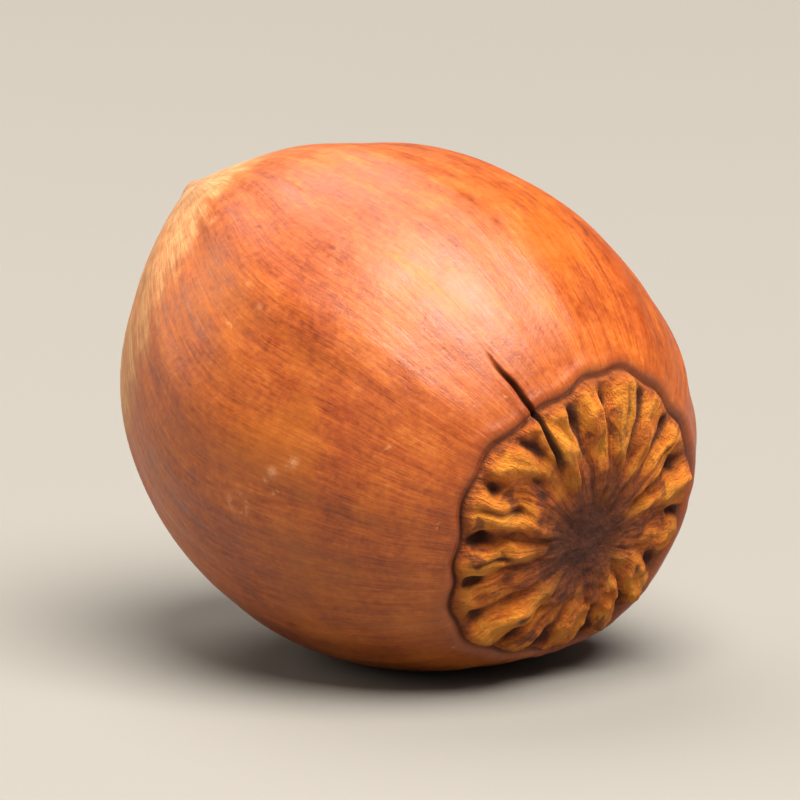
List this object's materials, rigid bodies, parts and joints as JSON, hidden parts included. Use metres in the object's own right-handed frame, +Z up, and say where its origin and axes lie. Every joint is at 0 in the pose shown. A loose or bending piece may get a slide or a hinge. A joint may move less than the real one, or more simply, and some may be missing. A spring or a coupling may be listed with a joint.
{
  "type": "hazelnut",
  "caption": "Hazelnut in its shell: rounded satin body with faint lengthwise ribs, a pointed tip, a toothed round scar and a short crack.",
  "frame": {"origin": "centre of the small flat spot on the underside, on the surface that the nut lies on", "axes": "+Z up; +X toward the scar end, along the nut's length seen from above; -Y toward the side with the crack"},
  "size_m": [0.0201, 0.0186, 0.0176],
  "materials": {
    "shell": "satin reddish-brown shell with faint lengthwise streaks, a pale tip and a dry ochre scar"
  },
  "bodies": {
    "root": {"hazelnut": "shell"}
  },
  "joints": []
}
